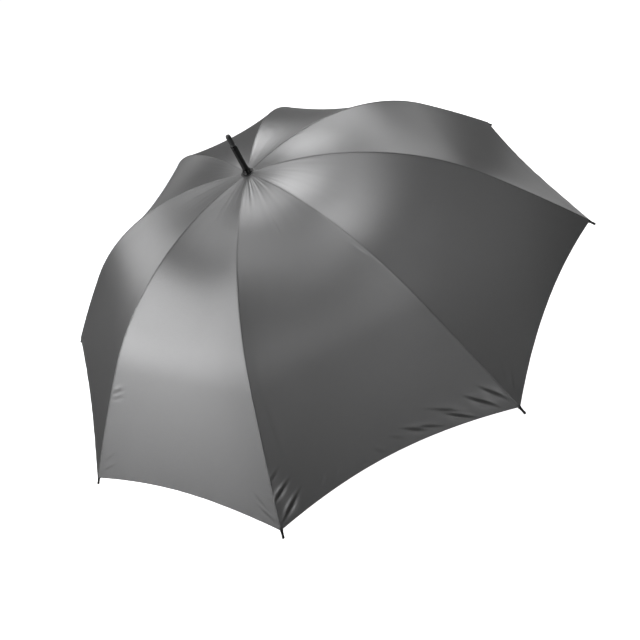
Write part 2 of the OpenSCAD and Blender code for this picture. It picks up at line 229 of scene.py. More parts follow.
def relief(k, s, u, across):
    """Height of the fabric's folds, puckers and slack above the smooth panel."""
    phase = 1.7 * k
    radius = np.maximum(s, 0) + PIVOT[0]
    fade_in = np.clip((s - 4) / 25, 0, 1)
    # radial puckers, where the points of the panels are gathered under the crown's cap
    waves = (np.sin(15.0 * u + phase + 0.8 * np.sin(5.0 * u + phase))
             + 0.6 * np.sin(27.0 * u - phase + s / 35.0)
             + 0.5 * np.sin(9.0 * u + 2.3 * phase))
    out = PUCKER[k - 1] * PUCKER_RISE * radius * np.exp(-s / PUCKER_REACH) * fade_in * waves
    half_width = radius * math.sin(HALF)
    for side in (-1, 1):
        from_seam = np.abs(side - u) * half_width
        ripple = np.sin(s / 2.9 + 2.0 * np.sin(s / 37.0 + phase * side)) + 0.7 * np.sin(s / 6.1 + phase)
        patchy = 0.5 + 0.5 * np.sin(s / 61.0 + phase * (2 + side))
        out = out + RIPPLE * np.exp(-from_seam / RIPPLE_REACH) * ripple * patchy * np.clip(s / 120.0, 0, 1)
        drag = sum(strength * np.exp(-((from_seam - place) / width) ** 2)
                   for place, width, strength in DRAG_LINES)
        out = out + DRAG * drag * np.sin(s / 95.0 + phase + side) * np.clip((s - 150) / 200.0, 0, 1)
    to_hem = np.clip(RIB_LEN - s, 0, None)
    gathers = (np.sin(across / 7.3 + phase + 1.6 * np.sin(across / 31.0))
               + 0.6 * np.sin(across / 12.7 - phase))
    out = out + GATHER * np.exp(-to_hem / GATHER_REACH) * gathers * (1 - u ** 4)
    slack = (np.sin(s / 71.0 + across / 93.0 + phase) + np.sin(s / 113.0 - across / 67.0 + 2.1 * phase)
             + 0.6 * np.sin(s / 43.0 + across / 57.0 - phase))
    out = out + SLACK * slack * np.clip(s / 250.0, 0, 1) * (1 - u ** 2)
    for fold in [*FOLDS.get(k, ()), *corner_folds(k)]:
        out = out + fold_height(s, across, *fold)
    return out * np.clip((1 - np.abs(u)) * half_width / SEAM_MARGIN, 0, 1) ** 0.7


def panel_points(k, s, u, depth=0.0):
    """World points of panel k, at distances s from the crown and places u from seam to seam (-1 to 1).

    depth is how far below the fabric's outer face the points lie.
    """
    s, u = np.broadcast_arrays(np.asarray(s, float), np.asarray(u, float))
    cut = HEM_CUT[k - 1] * (1 - u * u) * (np.maximum(s, 0) / RIB_LEN) ** 3
    t = s - cut
    r0, _, _ = rib_curve(t)
    across = u * r0 * math.sin(HALF)
    lift = FABRIC_LIFT + FABRIC_T - depth + relief(k, s, u, across)
    r, z, slope = rib_curve(t, lift)
    share = np.clip((t + SAG_START) / (RIB_LEN + SAG_START), 0, 1)
    drop = PANEL_SAG * np.sin(np.pi * share) * (1 - u * u)
    radial = r * math.cos(HALF) - drop * np.sin(slope)
    return turned(radial, u * r * math.sin(HALF), z - drop * np.cos(slope), azimuth(k) + HALF)


# ---- mesh helpers ----
def new_object(name, verts, faces, material, smooth=True, uvs=None):
    mesh = bpy.data.meshes.new(name)
    mesh.from_pydata([tuple(v) for v in verts], [], faces)
    if uvs is not None:
        layer = mesh.uv_layers.new(name="UVMap")
        corner = np.zeros(len(mesh.loops), int)
        mesh.loops.foreach_get("vertex_index", corner)
        layer.data.foreach_set("uv", np.asarray(uvs, np.float32)[corner].ravel())
    mesh.materials.append(material)
    if smooth:
        mesh.shade_smooth()
    else:
        mesh.shade_flat()
    obj = bpy.data.objects.new(name, mesh)
    scene.collection.objects.link(obj)
    return obj


def grid_faces(rows, cols, closed=False, offset=0):
    faces = []
    span = cols if closed else cols - 1
    for i in range(rows - 1):
        for j in range(span):
            a = offset + i * cols + j
            b = offset + i * cols + (j + 1) % cols
            faces.append((a, b, b + cols, a + cols))
    return faces


def lathe(name, profile, material, axis_at=None, segments=64, angle=30.0):
    """A turned piece from (radius, height) points in mm, closed where the radius is 0."""
    ring = np.linspace(0, 2 * math.pi, segments, endpoint=False)
    points = np.array(profile, float)
    verts = np.stack([np.outer(points[:, 0], np.cos(ring)), np.outer(points[:, 0], np.sin(ring)),
                      np.repeat(points[:, 1:2], segments, 1)], -1).reshape(-1, 3) * MM
    obj = new_object(name, verts, grid_faces(len(points), segments, closed=True), material)
    clean = bmesh.new()
    clean.from_mesh(obj.data)
    bmesh.ops.remove_doubles(clean, verts=clean.verts, dist=1e-6)
    bmesh.ops.recalc_face_normals(clean, faces=clean.faces)
    clean.to_mesh(obj.data)
    clean.free()
    if axis_at is not None:
        obj.data.transform(axis_at)
    obj.data.shade_smooth()
    obj.data.set_sharp_from_angle(angle=math.radians(angle))
    return obj


def rounded(points, radius, steps=4):
    """The profile with its inner corners rounded off by arcs of about the given radius."""
    points = [np.array(p, float) for p in points]
    out = [points[0]]
    for before, here, after in zip(points, points[1:], points[2:]):
        a = before - here
        b = after - here
        cut = min(radius, np.linalg.norm(a) / 2.2, np.linalg.norm(b) / 2.2)
        a = here + a / np.linalg.norm(a) * cut
        b = here + b / np.linalg.norm(b) * cut
        for t in np.linspace(0, 1, steps + 1):
            out.append((1 - t) ** 2 * a + 2 * t * (1 - t) * here + t * t * b)
    out.append(points[-1])
    return out


def thicken(obj, thickness, offset=-1.0, rim=True):
    solid = obj.modifiers.new("thickness", "SOLIDIFY")
    solid.thickness = thickness * MM
    solid.offset = offset
    solid.use_rim = rim


def bevel(obj, width):
    edge = obj.modifiers.new("bevel", "BEVEL")
    edge.width = width * MM
    edge.segments = 2
    edge.limit_method = "ANGLE"
    edge.angle_limit = math.radians(40)


# ---- materials ----
class Shader:
    """A node material built call by call."""

    def __init__(self, name, **values):
        self.material = bpy.data.materials.new(name)
        self.material.use_nodes = True
        self.tree = self.material.node_tree
        self.bsdf = next(n for n in self.tree.nodes if n.type == "BSDF_PRINCIPLED")
        for socket, value in values.items():
            self.bsdf.inputs[socket.replace("_", " ")].default_value = value

    def node(self, kind, inputs=None, **settings):
        made = self.tree.nodes.new("ShaderNode" + kind)
        for key, value in settings.items():
            setattr(made, key, value)
        for key, value in (inputs or {}).items():
            if isinstance(value, bpy.types.NodeSocket):
                self.tree.links.new(value, made.inputs[key])
            else:
                made.inputs[key].default_value = value
        return made

    def coords(self, kind="Object", scale=(1, 1, 1)):
        source = self.node("TexCoord").outputs[kind]
        return self.node("Mapping", {"Vector": source, "Scale": scale}).outputs["Vector"]

    def noise(self, vector, scale, detail=3.0, rough=0.5):
        made = self.node("TexNoise", {"Vector": vector, "Scale": scale, "Detail": detail,
                                      "Roughness": rough})
        return made.outputs["Fac"]

    def voronoi(self, vector, scale):
        made = self.node("TexVoronoi", {"Vector": vector, "Scale": scale})
        return made.outputs["Distance"]

    def wave(self, vector, scale, direction, distortion):
        made = self.node("TexWave", {"Vector": vector, "Scale": scale, "Distortion": distortion,
                                     "Detail": 0.0},
                         wave_type="BANDS", bands_direction=direction, wave_profile="SIN")
        return made.outputs["Fac"]

    def span(self, value, low, high, from_low=0.0, from_high=1.0):
        made = self.node("MapRange", {"Value": value, "From Min": from_low, "From Max": from_high,
                                      "To Min": low, "To Max": high})
        return made.outputs["Result"]

    def maths(self, operation, a, b=0.0):
        made = self.node("Math", {0: a, 1: b}, operation=operation)
        return made.outputs["Value"]

    def mix(self, factor, a, b):
        made = self.node("Mix", data_type="RGBA")
        for index, value in ((0, factor), (6, a), (7, b)):
            if isinstance(value, bpy.types.NodeSocket):
                self.tree.links.new(value, made.inputs[index])
            else:
                made.inputs[index].default_value = value
        return made.outputs[2]

    def ramp(self, value, stops):
        made = self.node("ValToRGB", {"Fac": value})
        elements = made.color_ramp.elements
        while len(elements) < len(stops):
            elements.new(0.5)
        for element, (place, color) in zip(elements, stops):
            element.position = place
            element.color = color
        return made.outputs["Color"]

    def bump(self, height, strength, distance, normal=None):
        inputs = {"Height": height, "Strength": strength, "Distance": distance}
        if normal is not None:
            inputs["Normal"] = normal
        return self.node("Bump", inputs).outputs["Normal"]

    def edges(self, radius):
        """1 near the piece's sharp edges and 0 elsewhere."""
        soft = self.node("Bevel", {"Radius": radius}, samples=4).outputs["Normal"]
        true = self.node("NewGeometry").outputs["Normal"]
        same = self.node("VectorMath", {0: soft, 1: true}, operation="DOT_PRODUCT").outputs["Value"]
        return self.span(same, 1.0, 0.0, 0.75, 0.98)

    def set(self, **links):
        for socket, value in links.items():
            self.tree.links.new(value, self.bsdf.inputs[socket.replace("_", " ")])
        return self.material


BLUE_CAST = 1.01           # the greys lean this far towards blue


def grey(level):
    return (level, level, level * BLUE_CAST, 1.0)


FABRIC_METAL = 0.8
FABRIC_GREY = 0.30
FABRIC_ROUGH = 0.40
FABRIC_EDGE = 1.0          # how bright the sheen stays where the cloth is seen edge on
FABRIC_ANISO = 0.7         # the satin face's long threads spread highlights across the panel
WEAVE_PITCH = 0.00042      # metres between two threads of the canopy's cloth
STITCH_PITCH = 0.0028      # metres from one stitch of the seams to the next
STITCH_ROW = 0.0011        # metres from the seam's middle to each of its two rows of stitches


def satin(name):
    """A satin cloth's shader, and the direction across the panel that its sheen follows."""
    cloth = Shader(name, Metallic=FABRIC_METAL, Anisotropic=FABRIC_ANISO, Specular_Tint=grey(FABRIC_EDGE),
                   Sheen_Weight=0.1, Sheen_Roughness=0.5)
    tangent = cloth.node("Tangent", direction_type="UV_MAP", uv_map="UVMap").outputs["Tangent"]
    return cloth, tangent


def canopy_cloth(name):
    """Satin-faced woven polyester: fine threads, soft slubs and a broad sheen. UVs are in metres."""
    cloth, tangent = satin(name)
    uv = cloth.coords("UV")
    frequency = 2 * math.pi / (20 * WEAVE_PITCH)
    warp = cloth.wave(uv, frequency, "X", 0.15)
    weft = cloth.wave(uv, frequency * 0.8, "Y", 0.15)
    weave = cloth.maths("MAXIMUM", warp, weft)
    slubs = cloth.noise(cloth.coords("UV", (60, 900, 1)), 1.0, 2.0)
    broad = cloth.noise(cloth.coords(), 5.0, 4.0, 0.55)
    thread = cloth.maths("ADD", cloth.maths("MULTIPLY", weave, 0.6), cloth.maths("MULTIPLY", slubs, 0.4))
    color = cloth.ramp(thread, ((0.25, grey(FABRIC_GREY * 0.86)), (0.75, grey(FABRIC_GREY * 1.1))))
    color = cloth.mix(cloth.span(broad, 0.0, 0.16), color, grey(FABRIC_GREY * 0.7))
    rough = cloth.span(cloth.maths("ADD", broad, cloth.maths("MULTIPLY", slubs, 0.4)),
                       FABRIC_ROUGH - 0.03, FABRIC_ROUGH + 0.04, 0.3, 1.0)
    normal = cloth.bump(weave, 0.12, 0.00006)
    normal = cloth.bump(slubs, 0.10, 0.0001, normal)
    return cloth.set(Base_Color=color, Roughness=rough, Normal=normal, Tangent=tangent)


def seam_cloth(name):
    """The felled seam's tape, with two rows of stitches. U runs across in metres, V along."""
    tape, tangent = satin(name)
    uv = tape.node("TexCoord").outputs["UV"]
    parts = tape.node("SeparateXYZ", {"Vector": uv})
    across, along = parts.outputs["X"], parts.outputs["Y"]
    dash = tape.maths("SINE", tape.maths("MULTIPLY", along, 2 * math.pi / STITCH_PITCH))
    dash = tape.span(dash, 0.0, 1.0, -0.2, 0.35)
    row = tape.maths("ABSOLUTE", tape.maths("SUBTRACT", tape.maths("ABSOLUTE", across), STITCH_ROW))
    row = tape.span(row, 1.0, 0.0, 0.0001, 0.0003)
    stitch = tape.maths("MULTIPLY", dash, row)
    grain = tape.noise(tape.coords("UV", (900, 300, 1)), 1.0, 2.0)
    base = tape.ramp(grain, ((0.3, grey(FABRIC_GREY * 0.8)), (0.75, grey(FABRIC_GREY))))
    color = tape.mix(stitch, base, grey(FABRIC_GREY * 1.3))
    normal = tape.bump(grain, 0.25, 0.0001)
    normal = tape.bump(stitch, 0.8, 0.0003, normal)
    rough = tape.span(grain, FABRIC_ROUGH, FABRIC_ROUGH + 0.1)
    return tape.set(Base_Color=color, Roughness=rough, Normal=normal, Tangent=tangent)


def coated_cloth(name):
    """Black cloth whose fine weave shows through a glossy coating."""
    coat = Shader(name, IOR=1.5, Coat_Weight=1.0, Coat_Roughness=0.06)
    weave = coat.noise(coat.coords("UV", (1500, 1500, 1)), 1.0, 2.0)
    color = coat.ramp(weave, ((0.3, grey(0.008)), (0.8, grey(0.03))))
    return coat.set(Base_Color=color, Roughness=coat.span(weave, 0.3, 0.45),
                    Normal=coat.bump(weave, 0.3, 0.0001))


def moulded_plastic(name, level=0.012, rough=0.16, grain=900.0):
    """Black moulded plastic with faint flow marks, dust and rubbed edges."""
    plastic = Shader(name, IOR=1.5)
    place = plastic.coords()
    fine = plastic.noise(place, grain, 3.0)
    broad = plastic.noise(place, 60.0, 4.0, 0.6)
    worn = plastic.edges(0.0006)
    color = plastic.ramp(broad, ((0.3, grey(level * 0.7)), (0.8, grey(level * 1.6))))
    color = plastic.mix(plastic.maths("MULTIPLY", worn, 0.5), color, grey(level * 4 + 0.02))
    roughness = plastic.maths("ADD", plastic.span(broad, rough * 0.8, rough * 1.6, 0.25, 0.8),
                              plastic.maths("MULTIPLY", worn, 0.12))
    return plastic.set(Base_Color=color, Roughness=roughness, Normal=plastic.bump(fine, 0.06, 0.00005))


def pultruded_rod(name):
    """Black fibreglass rod, with long fibres showing through the resin."""
    rod = Shader(name, IOR=1.52)
    uv = rod.coords("UV", (900, 14, 1))
    fibres = rod.noise(uv, 1.0, 4.0, 0.65)
    color = rod.ramp(fibres, ((0.3, grey(0.010)), (0.8, grey(0.045))))
    normal = rod.bump(fibres, 0.2, 0.00005)
    return rod.set(Base_Color=color, Roughness=rod.span(fibres, 0.22, 0.42), Normal=normal)


def enamel(name, level=0.02, rough=0.25, bare=0.45, radius=0.0005):
    """Black enamel on steel: a slight orange peel, rubbed through along the edges."""
    paint = Shader(name, IOR=1.5)
    place = paint.coords()
    peel = paint.noise(place, 700.0, 2.0)
    broad = paint.noise(place, 35.0, 5.0, 0.6)
    chips = paint.noise(place, 260.0, 3.0, 0.7)
    worn = paint.maths("MULTIPLY", paint.edges(radius), paint.span(chips, 0.0, 1.0, 0.5, 0.62))
    color = paint.ramp(broad, ((0.25, grey(level * 0.75)), (0.8, grey(level * 1.5))))
    color = paint.mix(worn, color, grey(bare))
    roughness = paint.span(broad, rough * 0.8, rough * 1.5, 0.3, 0.8)
    return paint.set(Base_Color=color, Roughness=roughness, Metallic=paint.maths("MULTIPLY", worn, 0.9),
                     Normal=paint.bump(peel, 0.08, 0.0001))


def drawn_steel(name, level=0.5):
    """Bright steel with fine drawing marks and some dulling."""
    steel = Shader(name, Metallic=1.0)
    marks = steel.noise(steel.coords("Object", (900, 900, 90)), 1.0, 3.0, 0.6)
    dull = steel.noise(steel.coords(), 120.0, 4.0, 0.6)
    color = steel.ramp(dull, ((0.3, grey(level * 0.8)), (0.75, grey(level * 1.15))))
    roughness = steel.maths("ADD", steel.span(marks, 0.2, 0.36), steel.span(dull, -0.04, 0.08))
    return steel.set(Base_Color=color, Roughness=roughness, Normal=steel.bump(marks, 0.15, 0.00005))


def cell_foam(name):
    """Closed-cell foam: small open pores in a matt skin, polished a little where hands hold it."""
    foam = Shader(name, IOR=1.45, Sheen_Weight=0.15)
    place = foam.coords()
    cells = foam.voronoi(place, 1100.0)
    pits = foam.voronoi(place, 420.0)
    broad = foam.noise(place, 45.0, 4.0, 0.6)
    color = foam.ramp(cells, ((0.1, grey(0.010)), (0.6, grey(0.036))))
    color = foam.mix(foam.span(broad, 0.0, 0.5, 0.35, 0.75), color, grey(0.022))
    normal = foam.bump(cells, 0.5, 0.0002)
    normal = foam.bump(pits, 0.3, 0.0003, normal)
    return foam.set(Base_Color=color, Roughness=foam.span(broad, 0.62, 0.85), Normal=normal)


def hook_tape(name):
    """Hook-and-loop tape: a dense matt pile."""
    tape = Shader(name, Sheen_Weight=0.3)
    pile = tape.voronoi(tape.coords(), 1300.0)
    color = tape.ramp(pile, ((0.1, grey(0.008)), (0.7, grey(0.05))))
    return tape.set(Base_Color=color, Roughness=tape.span(pile, 0.75, 0.95),
                    Normal=tape.bump(pile, 0.9, 0.0004))


CLOTH = canopy_cloth("canopy_cloth")
SEAM = seam_cloth("seam_tape")
COATED = coated_cloth("coated_cloth")
PLASTIC = moulded_plastic("moulded_plastic")
GLOSS = moulded_plastic("gloss_plastic", 0.006, 0.07, 400.0)
SATIN_PLASTIC = moulded_plastic("satin_plastic", 0.018, 0.34, 500.0)
TIP_PLASTIC = moulded_plastic("tip_plastic", 0.07, 0.3, 700.0)
ROD = pultruded_rod("fibreglass_rod")
STRETCHER_PAINT = enamel("stretcher_enamel", 0.02, 0.3)
SHAFT_PAINT = enamel("shaft_enamel", 0.022, 0.2, 0.3, 0.0004)
STEEL = drawn_steel("drawn_steel")
RIVET = drawn_steel("rivet_steel", 0.35)
FOAM = cell_foam("grip_foam")
HOOKS = hook_tape("hook_tape")

# ---- canopy ----
COLUMNS = 129
COLUMN_CROWDING = 0.38     # how far the columns of points crowd towards the seams
CLOTH_T = 0.28
HEM_FOLD = 9.0             # width of the folded hem
# the folded hem's rows of points: distance from the edge, and depth below the fabric's outer face
HEM_ROWS = ((0.0, 0.45), (0.6, 0.75), (1.6, 0.8), (5.0, 0.8), (HEM_FOLD, 0.75))


def column_places():
    even = np.linspace(-1, 1, COLUMNS)
    return (1 - COLUMN_CROWDING) * even + COLUMN_CROWDING * np.sin(math.pi / 2 * even)


def row_places(*stretches):
    """Distances from the crown, from stretches that each have a start, an end and a step."""
    return np.concatenate([np.arange(*stretch) for stretch in stretches])


def panel_width(s):
    """Width of the flat panel between its seams at distance s from the crown, in metres."""
    return 2 * rib_curve(s)[0] * math.sin(HALF) * MM


def build_panel(k):
    """The two pieces of one gore: they share a row of points where the ribs flex."""
    u = column_places()
    inner_s = row_places((-3, 45, 3.0), (45, 342, 7.0), (342, FLEX_S + 0.5, 2.0))
    outer_s = row_places((FLEX_S, 360, 2.0), (360, 640, 5.0), (640, 748, 2.4))
    outer_s = np.append(outer_s, [748, 749.2, RIB_LEN])
    for name, rows in (("inner", inner_s), ("outer", outer_s)):
        s, uu = np.meshgrid(rows, u, indexing="ij")
        points = panel_points(k, s, uu)
        if name == "outer":
            back, below = np.array(HEM_ROWS).T
            fold_s, fold_u = np.meshgrid(RIB_LEN - back, u, indexing="ij")
            fold = panel_points(k, fold_s, fold_u, depth=below[:, None])
            points = np.concatenate([points, fold])
            s = np.concatenate([s, 2 * RIB_LEN - fold_s])
            uu = np.concatenate([uu, fold_u])
        verts = points.reshape(-1, 3)
        across = uu * rib_curve(np.clip(s, 0, RIB_LEN))[0] * math.sin(HALF)
        uvs = np.stack([across, s], -1).reshape(-1, 2) * MM
        faces = [f[::-1] for f in grid_faces(len(s), len(u))]
        panel = new_object(f"canopy_panel_{name}_{k}", verts, faces, CLOTH, uvs=uvs)
        thicken(panel, CLOTH_T, rim=False)
        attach(panel, f"canopy_{name}_{k}")
        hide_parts(f"canopy_{name}_{k}")
        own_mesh(panel)
    flex_width = panel_width(FLEX_S)
    end_width = panel_width(RIB_LEN)


for panel_number in range(1, RIBS + 1):
    build_panel(panel_number)


# ---- seams ----
BEND_FROM = 352.0          # two places along each rib, in mm from the crown; the script works out the rib's points there but bends nothing
BEND_TO = 480.0
SEAM_HALF = 2.1
SEAM_RIDGE = 0.35
SEAM_T = 0.3


def on_rib(k, s):
    r, z, _ = rib_curve(s)
    return tuple(turned(np.float64(r), 0.0, np.float64(z), azimuth(k)))


def build_seam(k):
    """The felled seam over rib k: a low ridge whose sides run down onto the two panels."""
    y = SEAM_HALF * np.array([-1.0, -0.85, -0.6, -0.3, 0.0, 0.3, 0.6, 0.85, 1.0])
    ridge = SEAM_RIDGE * np.array([-0.4, 0.4, 0.75, 0.95, 1.0, 0.95, 0.75, 0.4, -0.4])
    s = np.concatenate([[3.0, 4.5, 6.5, 9.0], np.arange(12, 740, 4.0), [744.0, 748.5]])
    ss, yy = np.meshgrid(s, y, indexing="ij")
    # narrower where the seams meet at the crown
    yy = yy * np.clip(0.45 + ss / 22, 0, 1)
    _, _, slope = rib_curve(ss)
    pulled = 0.07 * np.sin(ss / 2.9) + 0.05 * np.sin(ss / 6.1 + k)
    lift = FABRIC_LIFT + FABRIC_T + ridge[None, :] + pulled - math.sin(HALF) * np.sin(slope) * np.abs(yy)
    r, z, _ = rib_curve(ss - math.sin(HALF) * np.cos(slope) * np.abs(yy), lift)
    points = turned(r, yy, z, azimuth(k)).reshape(-1, 3)
    uvs = np.stack([yy, ss], -1).reshape(-1, 2) * MM
    faces = [f[::-1] for f in grid_faces(len(s), len(y))]
    seam = new_object(f"canopy_seam_{k}", points, faces, SEAM, uvs=uvs)
    thicken(seam, SEAM_T)
    on_rib(k, BEND_FROM)
    on_rib(k, BEND_TO)
    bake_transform(seam)


# ---- ribs ----
ROD_SIDES = 12
ROD_R = 1.75
PIN_SIDES = 14
BLOCK_EDGE = 0.3           # the fittings' edges are rounded this much
EAR_T = 1.0
EAR_OUT = 1.75             # from the rib's middle to the middle of each of the clip's two ears
# the rod's outline: distance from the crown, and radius
ROD_OUTLINE = ((7, 1.35), (8, ROD_R), (480, ROD_R), (520, 1.55), (740, 1.5))
# the clip's outline: distance along the rib from the rivet, and radius
CLIP_OUTLINE = ((-7, 1.7), (-7, 2.35), (-6.4, 2.55), (-2.6, 2.55), (-2.2, 2.45),
                (2.2, 2.45), (2.6, 2.55), (6.4, 2.55), (7, 2.35), (7, 1.7))


def tube_rings(s, radius):
    """Rings of points round the rib's line in its own plane: (radial, across, height) and uvs."""
    turn = np.linspace(0, 2 * math.pi, ROD_SIDES, endpoint=False)
    ss, tt = np.meshgrid(s, turn, indexing="ij")
    rr = np.repeat(radius[:, None], ROD_SIDES, 1)
    r, z, _ = rib_curve(ss, rr * np.sin(tt))
    return r, rr * np.cos(tt), z, np.stack([tt * ROD_R * MM, ss * MM], -1)


def build_rib(k):
    """One sprung rod from the crown to the tip, with its crimped clip, ears and rivet."""
    rod_s = np.append([7, 8], row_places((14, 340, 8.0), (340, 500, 5.0), (504, 740, 8.0)))
    rod_r = np.interp(rod_s, *np.array(ROD_OUTLINE).T)
    clip_s, clip_r = np.array(CLIP_OUTLINE).T
    verts = []
    uvs = []
    faces = []
    paint = []
    for index, (s, radius) in enumerate(((rod_s, rod_r), (RIVET_S + clip_s, clip_r))):
        r, y, z, uv = tube_rings(s, radius)
        faces += grid_faces(len(s), ROD_SIDES, closed=True, offset=len(verts))
        paint += [index] * ((len(s) - 1) * ROD_SIDES)
        verts += list(turned(r, y, z, azimuth(k)).reshape(-1, 3))
        uvs += list(uv.reshape(-1, 2))
    rib = new_object(f"rib_{k}", verts, faces, ROD, uvs=uvs)
    rib.data.materials.append(STRETCHER_PAINT)
    rib.data.materials.append(RIVET)
    rib.data.polygons.foreach_set("material_index", paint)
    add_rib_fittings(rib, k)
    on_rib(k, BEND_FROM)
    on_rib(k, BEND_TO)
    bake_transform(rib)
    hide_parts(f"rib_inner_{k}")


def local_frame(k, s):
    """Places a piece on rib k: X along the rib, Y across it, Z up through the cloth."""
    r, z, slope = (float(x) for x in rib_curve(s))
    turn = Matrix.Rotation(azimuth(k), 4, "Z")
    return turn @ Matrix.Translation(Vector((r, 0, z)) * MM) @ Matrix.Rotation(slope, 4, "Y")


def add_block(mesh, size, matrix, material_index):
    """A box with rounded edges, added to a bmesh."""
    made = bmesh.ops.create_cube(mesh, size=1.0)
    scale = Matrix.Diagonal((*(x * MM for x in size), 1.0))
    bmesh.ops.transform(mesh, matrix=matrix @ scale, verts=made["verts"])
    faces = {f for v in made["verts"] for f in v.link_faces}
    edges = {e for f in faces for e in f.edges}
    for f in faces:
        f.material_index = material_index
    bmesh.ops.bevel(mesh, geom=list(edges), offset=BLOCK_EDGE * MM, segments=2, profile=0.5,
                    affect="EDGES", clamp_overlap=True, material=-1)


def add_pin(mesh, radius, length, matrix, material_index, head=0.0):
    """A pin along the local Y axis, with domed heads where head is given."""
    wide = radius * (1 + head)
    end = length / 2
    half = [(radius, end - 0.1), (wide, end), (wide * 0.7, end + head * 0.35), (0.0, end + head * 0.45)]
    profile = [(r, -y) for r, y in reversed(half)] + half
    rings = []
    for r, y in profile:
        ring = [mesh.verts.new(matrix @ (Vector((r * math.cos(a), y, r * math.sin(a))) * MM))
                for a in np.linspace(0, 2 * math.pi, PIN_SIDES, endpoint=False)]
        rings.append(ring)
    for low, high in zip(rings, rings[1:]):
        for j in range(PIN_SIDES):
            beside = (j + 1) % PIN_SIDES
            face = mesh.faces.new((low[j], high[j], high[beside], low[beside]))
            face.material_index = material_index
            face.smooth = True


def moved(place, x, y, z):
    """The place shifted along its own axes, in mm."""
    return place @ Matrix.Translation(Vector((x, y, z)) * MM)


def add_rib_fittings(rib, k):
    """The clip's two ears with their rivet, and the eye that hangs the rib in the crown."""
    painted, steel = 1, 2
    mesh = bmesh.new()
    mesh.from_mesh(rib.data)
    mesh.faces.ensure_lookup_table()
    clip = local_frame(k, RIVET_S)
    for side in (-1, 1):
        ear = moved(clip, 0, side * EAR_OUT, -(RIVET_DROP + 0.8) / 2 - 0.3)
        add_block(mesh, (4.8, EAR_T, RIVET_DROP + 1.4), ear, painted)
    add_pin(mesh, 0.9, 4.6, moved(clip, 0, 0, -RIVET_DROP), steel, head=0.7)
    eye = local_frame(k, 0.0)
    add_block(mesh, (9.0, 2.0, 3.0), moved(eye, 5.0, 0, 0), painted)
    add_pin(mesh, 2.2, 2.0, eye, painted)
    bmesh.ops.remove_doubles(mesh, verts=mesh.verts, dist=1e-7)
    mesh.to_mesh(rib.data)
    mesh.free()
    rib.data.set_sharp_from_angle(angle=math.radians(35))


def build_tip(k):
    """The moulded tip pushed over the rib's end, with the collar that the canopy's corner is sewn to."""
    profile = rounded([(0.0, -15.0), (2.3, -15.0), (2.5, -10.0), (2.7, -1.2), (3.4, -0.6), (3.4, 1.2),
                       (2.7, 2.2), (2.3, 9.0), (2.6, 12.5), (2.5, 16.0), (0.0, 17.0)], 0.7, 3)
    place = local_frame(k, RIB_LEN) @ Matrix.Rotation(math.pi / 2, 4, "Y")
    tip = lathe(f"rib_tip_{k}", profile, SATIN_PLASTIC, axis_at=place, segments=24)
    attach(tip, f"rib_outer_{k}")
    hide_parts(f"rib_outer_{k}")


for rib_number in range(1, RIBS + 1):
    build_rib(rib_number)
    build_seam(rib_number)
    build_tip(rib_number)


# ---- crown, cap and ferrule ----
DISC_RINGS = (7.3, 8.2, 9.6, 11.2, 12.6, 13.6, 14.3, 14.8, 15.0)
DISC_STEPS = 128
DISC_GATHERS = 16
DISC_RIM_R = 13.4
DISC_T = 0.4


def build_patch():
    """The small gathered disc over the points of the panels, with a beaded rim."""
    turn = np.linspace(0, 2 * math.pi, DISC_STEPS, endpoint=False)
    rr, tt = np.meshgrid(DISC_RINGS, turn, indexing="ij")
    slope = np.clip((rr - 7) / 8, 0, 1)
    gathers = 0.16 * slope * np.sin(DISC_GATHERS * tt + 0.7 * np.sin(5 * tt))
    bead = 0.45 * np.exp(-((rr - DISC_RIM_R) / 0.8) ** 2)
    height = PATCH_Z + 0.55 - 0.9 * slope ** 3 + gathers + bead
    points = np.stack([rr * np.cos(tt), rr * np.sin(tt), height], -1).reshape(-1, 3) * MM
    uvs = np.stack([rr - 13.3, tt * 14], -1).reshape(-1, 2) * MM
    faces = [f[::-1] for f in grid_faces(len(DISC_RINGS), DISC_STEPS, closed=True)]
    patch = new_object("crown_cloth_disc", points, faces, COATED, uvs=uvs)
    thicken(patch, DISC_T)
    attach(patch, "shaft_group")
    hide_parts("crown_patch")


def build_cap():
    """The cap that clamps the disc and the panels' points down."""
    profile = rounded([(SHAFT_HOLE_R, 0.0), (10.3, 0.0), (10.6, 0.9), (10.3, 1.9), (9.2, 2.5), (8.9, 3.4),
                       (7.9, 4.0), (SHAFT_HOLE_R, 4.0), (SHAFT_HOLE_R, 0.0)], 0.5, 3)
    cap = lathe("rosette_cap_turned", [(r, CAP_Z + z) for r, z in profile], GLOSS, segments=96)
    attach(cap, "shaft_group")
    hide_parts("rosette_cap")


def build_ferrule():
    """The ferrule over the shaft's end, and the tip that closes it."""
    body = rounded([(7.1, 0.0), (9.0, 0.0), (9.2, 0.8), (8.5, 2.6), (7.6, 4.2), (6.9, 7.5), (6.6, 12.0),
                    (6.5, FERRULE_LEN - 9), (6.5, FERRULE_LEN - 4.5), (6.0, FERRULE_LEN - 4.0),
                    (6.0, FERRULE_LEN - 3.0), (6.5, FERRULE_LEN - 2.4), (6.4, FERRULE_LEN - 0.3),
                    (5.4, FERRULE_LEN), (0.0, FERRULE_LEN)], 0.5, 3)
    ferrule = lathe("ferrule_turned", [(r, FERRULE_Z + z) for r, z in body], GLOSS, segments=72)
    tip = rounded([(0.0, 0.1), (5.2, 0.1), (5.5, 0.6), (5.5, 2.4), (5.0, 3.0), (5.0, 3.9), (5.5, 4.5),
                   (5.4, FERRULE_TIP_LEN - 4.5), (4.9, FERRULE_TIP_LEN - 1.6), (3.2, FERRULE_TIP_LEN - 0.1),
                   (0.0, FERRULE_TIP_LEN)], 1.0, 4)
    end = lathe("ferrule_tip_turned", [(r, FERRULE_Z + FERRULE_LEN + z) for r, z in tip], TIP_PLASTIC,
                segments=72)
    for piece, node in ((ferrule, "ferrule"), (end, "ferrule_tip")):
        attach(piece, "shaft_group")
        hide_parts(node)


build_patch()
build_cap()
build_ferrule()


